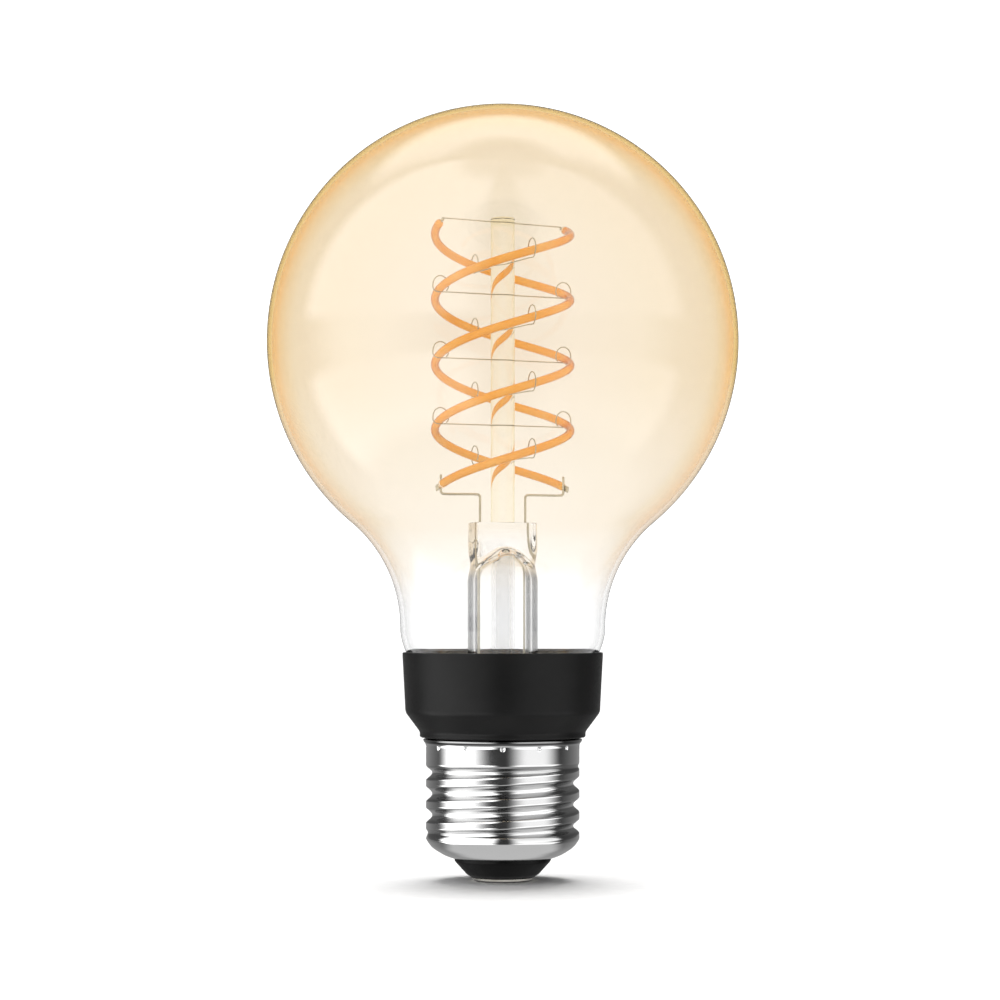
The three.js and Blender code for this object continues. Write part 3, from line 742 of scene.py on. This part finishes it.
def stem():
    """The flare tube, open below, pinched flat above its domed bore. The profile keeps the tube's
    radius all the way up, and the pinch gives each point above the tube its real reach."""
    outer = stem_tube(STEM_RADIUS, FLARE_DROP)
    inner = [*stem_tube(STEM_BORE, BORE_FLARE_DROP), *sample(18, bore_dome)[1:]]
    press_span = PRESS_TOP_Z - PRESS_EDGE - STEM_DOME_Z
    press = sample(44, lambda t: (STEM_RADIUS, STEM_DOME_Z + press_span * t))[1:]
    edge_rises = sample(5, lambda t: PRESS_EDGE * (1 - math.sin(t * math.pi / 2)))[1:]
    top_edge = [(STEM_RADIUS, PRESS_TOP_Z - rise) for rise in edge_rises]
    rim = (FLARE_RIM_RADIUS + 0.1, (outer[0][1] + inner[0][1]) / 2)

    def pinched(radius, height, angle):
        if radius != STEM_RADIUS or height <= STEM_DOME_Z:
            return radius
        past_edge = max(height - PRESS_TOP_Z + PRESS_EDGE, 0)
        setback = PRESS_EDGE - math.sqrt(max(PRESS_EDGE ** 2 - past_edge ** 2, 0))
        return pinched_reach(height, angle) - setback

    shape = turned([*reversed(inner), rim, *outer, *press, *top_edge, (0, PRESS_TOP_Z)], 144, pinched)
    piece("glass_stem", shape, STEM_GLASS, "clear_glass", "stem_flare", crease=50)


def exhaust_tube():
    """A tube drawn to a closed tip. Its walls have a ring near each end, so that the shading of
    the rounded ends doesn't spread along them."""
    taper_z = TUBE_TIP_Z + 3
    wall_low, wall_high = taper_z + 1.2, TUBE_TOP_Z - 0.8
    shape = turned(softened([
        (0, TUBE_TIP_Z, 0), (0.9, TUBE_TIP_Z + 0.3, 0.5), (1.6, TUBE_TIP_Z + 1.4, 0.6),
        (POST_RADIUS, taper_z, 1), (POST_RADIUS, wall_low, 0), (POST_RADIUS, wall_high, 0),
        (POST_RADIUS, TUBE_TOP_Z, 0.3), (TUBE_BORE, TUBE_TOP_Z, 0.3), (TUBE_BORE, wall_high, 0),
        (TUBE_BORE, wall_low, 0), (TUBE_BORE, taper_z, 1), (0.7, TUBE_TIP_Z + 1.8, 0.4),
        (0, TUBE_TIP_Z + 1.2, 0),
    ]), 64)
    piece("glass_exhaust_tube", shape, TUBE_GLASS, "clear_glass", "exhaust_tube", crease=60)


def centre_post():
    """A plain rod, with rings near its ends for the same reason."""
    low = PRESS_TOP_Z + 0.03
    shape = turned(softened([
        (0, low, 0), (POST_RADIUS, low, 0.1), (POST_RADIUS, low + 0.3, 0),
        (POST_RADIUS, POST_TOP_Z - 0.8, 0), (POST_RADIUS, POST_TOP_Z, 0.35), (0, POST_TOP_Z, 0),
    ]), 72)
    piece("glass_post", shape, POST_GLASS, "clear_glass", "centre_post", crease=60)


def strand_point(start, turns, radius=COIL_RADIUS):
    """A point of a strand's middle line, a number of turns up from its lower end."""
    angle = start + turns * 2 * math.pi
    rise = (STRAND_TOP_Z - STRAND_BOTTOM_Z) * turns / STRAND_TURNS
    return radius * math.cos(angle), radius * math.sin(angle), STRAND_BOTTOM_Z + rise


def strand(letter, start):
    route = in_lead_plane(sample(260, lambda t: strand_point(start, t * STRAND_TURNS)))
    node = "filament_strand_" + letter
    coat = wire(route, STRAND_RADIUS, 24)
    core = wire(route[1:-1], CORE_RADIUS, 20)
    piece("strand_coat_" + letter, coat, SILICONE, "phosphor", node)
    piece("strand_core_" + letter, core, FINISHES["phosphor"], "phosphor", node)


# The hook of a support around a strand: [outward, upward] from the strand's middle.
HOOK = [
    (1.35, -0.25), (1.35, 0.8), (0.9, 1.6),
    (0, 1.95), (-0.9, 1.6), (-1.4, 0.7), (-1.35, -0.2), (-1.0, -0.55),
]
HOOK_TOP = max(up for _, up in HOOK)


def support_wire(index, node):
    """A straight run through the post, hooked round a strand at each end."""
    station_z = HIGH[node][Z] - HOOK_TOP - FINE_WIRE_RADIUS
    across, drop = (Vector((0, -1, 0)), 1.2) if index % 2 == 0 else (Vector((1, 0, 0)), 0.75)

    def hook(side):
        run = [(-1.0, -drop), (0.6, -drop)]
        reach = [(across * side * (COIL_RADIUS + out), station_z + up) for out, up in [*run, *HOOK]]
        return [(p.x, p.y, z) for p, z in reach]

    left = smooth_route(list(reversed(hook(-1))), 6)
    right = smooth_route(hook(1), 6)
    route = in_lead_plane([*left, *right])
    name = node.replace("filament_support", "support_wire")
    piece(name, wire(route, FINE_WIRE_RADIUS, 10), NICKEL_WIRE, "nickel_wire", node)


def tab(node, side, along, size, radius, end_z):
    """A metal end piece, laid along the strand's own direction past its end."""
    reach = 0.25 + size[1] / 2
    slope = math.atan(COIL_SLOPE)
    place = (
        Matrix.Rotation(LEAD_PLANE, 4, "Z")
        @ Matrix.Translation((side * radius, side * along * reach, end_z + along * reach * COIL_SLOPE))
        @ Matrix.Rotation(side * slope, 4, "X")
    )
    name = node.replace("filament_", "")
    piece(name, soft_box(size, 0.08, place), FINISHES["nickel_wire"], "nickel_wire", node)


TAB_TOP = (0.3, 1.0, 0.55)
TAB_BOTTOM = (0.3, 1.4, 1.0)
TAB_BOTTOM_RADIUS = COIL_RADIUS + 0.08


def bridge_wire():
    height = middle("bridge_wire", Z)
    end_x = COIL_RADIUS - TAB_TOP[0] / 2 + 0.1
    end_y = 0.25 + TAB_TOP[1] / 2
    ends = sample(12, lambda t: ((2 * t - 1) * end_x, (2 * t - 1) * end_y, height))
    shape = wire(in_lead_plane(ends), FINE_WIRE_RADIUS, 10)
    piece("bridge", shape, NICKEL_WIRE, "nickel_wire", "bridge_wire")


def lead(letter, side):
    """The two wires of one lead, which meet inside the press."""
    joint_z = HIGH["outer_lead_" + letter][Z] + 0.15
    tip_x = TAB_BOTTOM_RADIUS - TAB_BOTTOM[0] / 2 - LEAD_RADIUS
    tip_y = -0.5
    tip_z = HIGH["inner_lead_" + letter][Z]
    bend = 0.6
    half = bend * (1 - math.sqrt(0.5))

    def at(x, z):
        return side * x, side * tip_y * (x - LEAD_OFFSET) / (tip_x - LEAD_OFFSET), z

    inner = [
        at(LEAD_OFFSET, joint_z), at(LEAD_OFFSET, (joint_z + LEAD_BEND_Z) / 2),
        at(LEAD_OFFSET, LEAD_BEND_Z - bend), at(LEAD_OFFSET + half, LEAD_BEND_Z - half),
        at(LEAD_OFFSET + bend, LEAD_BEND_Z), at((LEAD_OFFSET + tip_x) / 2, LEAD_BEND_Z),
        at(tip_x - bend, LEAD_BEND_Z), at(tip_x - half, LEAD_BEND_Z + half),
        at(tip_x, LEAD_BEND_Z + bend), at(tip_x, tip_z),
    ]
    outer = [at(LEAD_OFFSET, LOW["outer_lead_" + letter][Z]), at(LEAD_OFFSET, joint_z)]
    for name, node, points, steps in (
        ("lead_above_", "inner_lead_", inner, 6), ("lead_below_", "outer_lead_", outer, 12),
    ):
        shape = wire(in_lead_plane(smooth_route(points, steps)), LEAD_RADIUS, 12)
        piece(name + letter, shape, NICKEL_WIRE, "nickel_wire", node + letter)


def mount():
    stem()
    exhaust_tube()
    centre_post()
    for letter, side in (("a", 1), ("b", -1)):
        strand(letter, 0 if side == 1 else math.pi)
        tab("filament_tab_top_" + letter, side, 1, TAB_TOP, COIL_RADIUS, STRAND_TOP_Z)
        tab("filament_tab_bottom_" + letter, side, -1, TAB_BOTTOM, TAB_BOTTOM_RADIUS, STRAND_BOTTOM_Z)
        lead(letter, side)
    for index, node in enumerate(SUPPORTS):
        support_wire(index, node)
    bridge_wire()


# ---------------------------------------------------------------- collar and cap


def collar_housing():
    top, bottom = COLLAR_TOP_Z, COLLAR_BOTTOM_Z
    floor = bottom + 1.45
    shape = turned(softened([
        (10.6, SKIRT_END_Z, 0.1), (11.4, SKIRT_END_Z, 0.1), (11.4, bottom, 0.1), (13.9, bottom, 0.1),
        (14.1, bottom + 0.2, 0.12), (14.1, bottom + 0.95, 0.3), (16.55, bottom + 4.25, 0.55),
        (16.75, top - 6, 0.8), (17.05, top - 0.4, 0.2), (17, top, 0.15), (16.8, top, 0.1),
        (16.4, top - 0.9, 0.3), (15.75, top - 1.8, 0.3), (15.7, top - 5.15, 0.6),
        (15.2, bottom + 4.55, 1), (12.9, floor, 0.5), (10.6, floor, 0.15),
    ]), 160)
    piece("collar", shape, FINISHES["collar_plastic"], "collar_plastic", "collar_housing")


def neck_cement():
    low, high = LOW["neck_adhesive"][Z], HIGH["neck_adhesive"][Z]
    shape = turned(softened([
        (13.9, low, 0.2), (15.4, low, 0.3), (15.5, high + 0.2, 0.3), (14.9, high - 0.1, 0.4),
    ]), 96)
    piece("cement_bead", shape, FINISHES["neck_cement"], "neck_cement", "neck_adhesive")


def thread_groove(angle, height):
    """How far the rolled thread dips below its crests."""
    turns = (height - GROOVE_Z) / THREAD_PITCH - angle / (2 * math.pi)
    off_middle = abs(turns - round(turns)) / GROOVE_HALF_WIDTH
    if off_middle >= 1:
        return 0
    fade = smoothstep(7.3, 9.1, height) * (1 - smoothstep(18.5, 20.2, height))
    return THREAD_DEPTH * fade * (1 - off_middle ** 2) ** 1.6


def dimple(angle, height):
    """The ring of punch marks that hold the shell on the collar's skirt, one of them in front."""
    spacing = 2 * math.pi / DIMPLES
    turns = (angle + math.pi / 2) / spacing
    sideways = (turns - round(turns)) * spacing * THREAD_RADIUS
    distance = math.hypot(sideways, height - DIMPLE_Z)
    return DIMPLE_DEPTH * (1 - smoothstep(0.1, DIMPLE_RADIUS, distance))


def screw_shell():
    foot_z, top = SHELL_FOOT_Z, SHELL_TOP_Z
    foot = softened([
        (8.6, foot_z + 0.75, 0.05), (8.6, foot_z + 0.35, 0.15), (10, foot_z + 0.85, 0.8),
        (12.1, foot_z + 2.15, 1.1), (THREAD_RADIUS, THREAD_LOW_Z - 0.1, 0.3),
        (THREAD_RADIUS, THREAD_LOW_Z + 0.8, 0),
        (8.6, THREAD_LOW_Z + 0.8, 0),
    ])[:-2]
    rows = 96
    thread_span = THREAD_HIGH_Z - THREAD_LOW_Z - 0.8
    thread = sample(rows, lambda t: (THREAD_RADIUS, THREAD_LOW_Z + 0.8 + thread_span * t))
    band_span = top - 1 - THREAD_HIGH_Z
    band = sample(22, lambda t: (THREAD_RADIUS, THREAD_HIGH_Z + band_span * t))
    rim = softened([
        (THREAD_RADIUS, THREAD_HIGH_Z, 0), (THREAD_RADIUS, top - 0.9, 0.35), (13.5, top - 0.3, 0.35),
        (13.5, top, 0.08), (13.2, top, 0.08), (12.75, top - 0.9, 0.3), (11.7, top - 1.1, 0.3),
        (11.7, 6.9, 0.5), (9.9, 4.9, 0.5),
    ])[1:]

    def shaped(radius, height, angle):
        if radius < THREAD_RADIUS - 0.01:
            return radius
        return radius - thread_groove(angle, height) - dimple(angle, height)

    shape = turned([*foot[:-1], *thread, *band[1:], *rim], 720, shaped)
    piece("shell", shape, FINISHES["nickel_plate"], "nickel_plate", "screw_shell", crease=40)


def cap_insulator():
    low, high = LOW["cap_insulator"][Z], HIGH["cap_insulator"][Z]
    shape = turned(softened([
        (1.6, low - 0.28, 0.1), (5.3, low - 0.28, 0.2), (6.1, low + 0.2, 0.3), (8.2, 3.4, 0.3),
        (8.25, 4.4, 0.2), (9.3, 4.75, 0.2), (9.3, high, 0.2), (1.6, high, 0.1),
    ]), 128)
    piece("insulator", shape, FINISHES["black_glass"], "black_glass", "cap_insulator")


def centre_contact():
    shape = turned(softened([
        (0, 0, 0), (3.6, 0, 0.4), (4.9, 0.18, 0.2), (5.05, 0.24, 0.05), (5.4, 0.6, 0.02),
        (1.3, 0.6, 0.1), (1.3, 4.2, 0.3), (0, 4.2, 0),
    ]), 96)
    piece("tip_contact", shape, FINISHES["contact_metal"], "contact_metal", "centre_contact")


# ---------------------------------------------------------------- electronics, kept from the CAD

ELECTRONICS = {
    "circuit_board": ["radio_board", "driver_board"],
    "chip_plastic": [
        "radio_crystal", "radio_power_chip", "board_header", "bridge_rectifier", "driver_ic",
    ],
    "tin_plate": [
        "radio_shield_can", "antenna_strip", "lead_terminal_a", "lead_terminal_b",
        "header_pin_1", "header_pin_2", "header_pin_3", "header_pin_4",
    ],
    "ferrite": ["inductor_core"],
    "copper": ["inductor_winding"],
    "capacitor_sleeve": ["bulk_capacitor"],
    "film_dip": ["filter_capacitor"],
    "varistor_lacquer": ["surge_varistor"],
    "resistor_lacquer": ["fusible_resistor"],
    "red_sleeve": ["live_wire"],
    "white_sleeve": ["neutral_wire"],
}


def dress_electronics():
    for slot, nodes in ELECTRONICS.items():
        for node in nodes:
            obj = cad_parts[node]
            obj.data.materials.clear()
            obj.data.materials.append(FINISHES[slot])


# ---------------------------------------------------------------- studio

# Strengths of light. A tall softbox has a middle, level with the lamp, and ends above and below it.
LEFT_BOX_MIDDLE = 2.0
RIGHT_BOX_MIDDLE = 1.0
LEFT_BOX_ENDS = 2.4
RIGHT_BOX_ENDS = 1.4
REAR_BOX = 1.6
SIDE_LIGHT = 0.04
LOW_BACK_LIGHT = 0.34
HIGH_BACK_LIGHT = 0.15
SURROUND = 1.45
FLOOR_GLEAM = 0.56
MATT_SHARE = 0.2

# Top light
TOP_LIGHT_SPREAD_DEG = 40
TOP_LIGHT_TILT_DEG = 15
TOP_LIGHT_STRENGTH = 3.4

# Camera and floor, in metres
CAMERA_DISTANCE = 0.48
CAMERA_HEIGHT = 0.0443
CAMERA_SHIFT_X = -0.0027
CAMERA_SHIFT_Y = 0.12
CAMERA_NEAR = 0.01
PICTURE_WIDTH = 0.17007
SENSOR_WIDTH_MM = 36.0
FLOOR_RADIUS = 4.0
FLOOR_Z = -0.00002


def studio_band(recipe, value, rise, full, fall, end):
    """1 in a band of a value and 0 outside: it rises from rise to full, and falls from fall to end."""
    return recipe.math(
        "MULTIPLY",
        recipe.smooth(value, rise, full),
        recipe.smooth(value, fall, end, 1.0, 0.0),
    )


def studio_side(recipe, azimuth, off_level, middle_band, middle_light, end_band, end_light):
    """One tall softbox: each band is four azimuths, and off_level runs from its middle to its ends."""
    middle_part = recipe.math("MULTIPLY", studio_band(recipe, azimuth, *middle_band), middle_light)
    end_part = recipe.math("MULTIPLY", studio_band(recipe, azimuth, *end_band), end_light)
    on_level = recipe.math("SUBTRACT", 1.0, off_level)
    return recipe.math(
        "ADD",
        recipe.math("MULTIPLY", middle_part, on_level),
        recipe.math("MULTIPLY", end_part, off_level),
    )


def studio_world():
    """For light and gloss: a tall softbox either side of the front, a high one behind, and dim
    light between. For what the camera sees straight and through glass: a plain white surround."""
    world = bpy.data.worlds.new("studio")
    bpy.context.scene.world = world
    world.use_nodes = True
    recipe = Recipe(world.node_tree)
    direction = recipe.add("TexCoord").outputs["Generated"]
    parts = recipe.add("SeparateXYZ", {0: direction}).outputs
    to_front = recipe.math("MULTIPLY", parts["Y"], -1.0)
    radians = recipe.math("ARCTAN2", parts["X"], to_front)
    azimuth = recipe.math("MULTIPLY", radians, 180 / math.pi)
    side_angle = recipe.math("ABSOLUTE", azimuth)

    off_level = recipe.smooth(recipe.math("ABSOLUTE", parts["Z"]), 0.1, 0.2)
    left = studio_side(
        recipe, azimuth, off_level,
        (-112, -78, -64, -15), LEFT_BOX_MIDDLE, (-116, -102, -24, -5), LEFT_BOX_ENDS,
    )
    right = studio_side(
        recipe, azimuth, off_level,
        (4, 38, 62, 97), RIGHT_BOX_MIDDLE, (7, 28, 88, 103), RIGHT_BOX_ENDS,
    )
    overhead = recipe.smooth(parts["Z"], 0.955, 0.995, 1.0, 0.15)
    boxes = recipe.math("MULTIPLY", recipe.math("ADD", left, right), overhead)

    back_light = recipe.smooth(parts["Z"], -0.02, 0.06, LOW_BACK_LIGHT, HIGH_BACK_LIGHT)
    behind = recipe.add("MapRange", {
        "Value": side_angle,
        "From Min": 95, "From Max": 176, "To Min": SIDE_LIGHT, "To Max": back_light,
    }).outputs[0]
    walls = recipe.math("ADD", boxes, behind)

    underfoot = recipe.smooth(parts["Z"], -0.75, -0.55, 1.0, 0.0)
    floor_part = recipe.math("MULTIPLY", underfoot, FLOOR_GLEAM)
    wall_part = recipe.math("MULTIPLY", walls, recipe.math("SUBTRACT", 1.0, underfoot))
    rear_side = recipe.smooth(side_angle, 105, 135)
    rear_height = studio_band(recipe, parts["Z"], 0.68, 0.8, 0.92, 0.985)
    rear_part = recipe.math("MULTIPLY", recipe.math("MULTIPLY", rear_side, rear_height), REAR_BOX)
    level = recipe.math("ADD", recipe.math("ADD", wall_part, floor_part), rear_part)

    path = recipe.add("LightPath").outputs
    off_matt = recipe.math("MULTIPLY", path["Is Diffuse Ray"], 1.0 - MATT_SHARE)
    level = recipe.math("MULTIPLY", level, recipe.math("SUBTRACT", 1.0, off_matt))
    studio = recipe.add("Background", {"Color": grey(1), "Strength": level}).outputs[0]
    surround = recipe.add("Background", {"Color": grey(1), "Strength": SURROUND}).outputs[0]
    seen = recipe.math("MAXIMUM", path["Is Camera Ray"], path["Is Transmission Ray"])
    shader = recipe.add("MixShader", {0: seen, 1: studio, 2: surround}).outputs[0]
    recipe.add("OutputWorld", {"Surface": shader})


def floor():
    """A plain pale disc, which is left out of gloss and out of the view through glass."""
    vertices, faces = turned([(0, FLOOR_Z), (FLOOR_RADIUS, FLOOR_Z)], 96)
    mesh = bpy.data.meshes.new("floor")
    mesh.from_pydata(vertices, [], faces)
    obj = bpy.data.objects.new("floor", mesh)
    bpy.context.scene.collection.objects.link(obj)

    def build(recipe):
        speckle = recipe.noise(400, 2)
        return {"Base Color": recipe.ramp(speckle, (0.3, grey(0.86)), (0.7, grey(0.9)))}

    mesh.materials.append(material("floor_paper", build, roughness=0.9, specular_ior_level=0.1))
    obj.visible_glossy = False
    obj.visible_transmission = False


def top_light():
    """A wide soft light overhead, which gloss and glass don't show."""
    light = bpy.data.lights.new("top_light", "SUN")
    light.angle = math.radians(TOP_LIGHT_SPREAD_DEG)
    light.energy = TOP_LIGHT_STRENGTH
    obj = bpy.data.objects.new("top_light", light)
    obj.visible_camera = False
    obj.visible_glossy = False
    obj.visible_transmission = False
    obj.rotation_euler = (-math.radians(TOP_LIGHT_TILT_DEG), 0, 0)
    bpy.context.scene.collection.objects.link(obj)


def camera():
    """A level camera at the height of the neck, with its frame shifted up to hold the lamp."""
    lens = bpy.data.cameras.new("camera")
    lens.sensor_width = SENSOR_WIDTH_MM
    lens.lens = SENSOR_WIDTH_MM * CAMERA_DISTANCE / PICTURE_WIDTH
    lens.shift_x = CAMERA_SHIFT_X
    lens.shift_y = CAMERA_SHIFT_Y
    lens.clip_start = CAMERA_NEAR
    obj = bpy.data.objects.new("camera", lens)
    obj.location = (0, -CAMERA_DISTANCE, CAMERA_HEIGHT)
    obj.rotation_euler = (math.pi / 2, 0, 0)
    bpy.context.scene.collection.objects.link(obj)
    bpy.context.scene.camera = obj


def light_paths():
    """Enough bounces for a line of sight through every wall of glass, and plain tones."""
    scene = bpy.context.scene
    scene.view_settings.view_transform = "Standard"
    scene.cycles.max_bounces = 32
    scene.cycles.transmission_bounces = 32
    scene.cycles.glossy_bounces = 6
    scene.cycles.diffuse_bounces = 3
    scene.cycles.sample_clamp_indirect = 6.0
    scene.cycles.use_denoising = True


camera()
studio_world()
floor()
top_light()
light_paths()
glass_envelope()
mount()
collar_housing()
neck_cement()
screw_shell()
cap_insulator()
centre_contact()
dress_electronics()
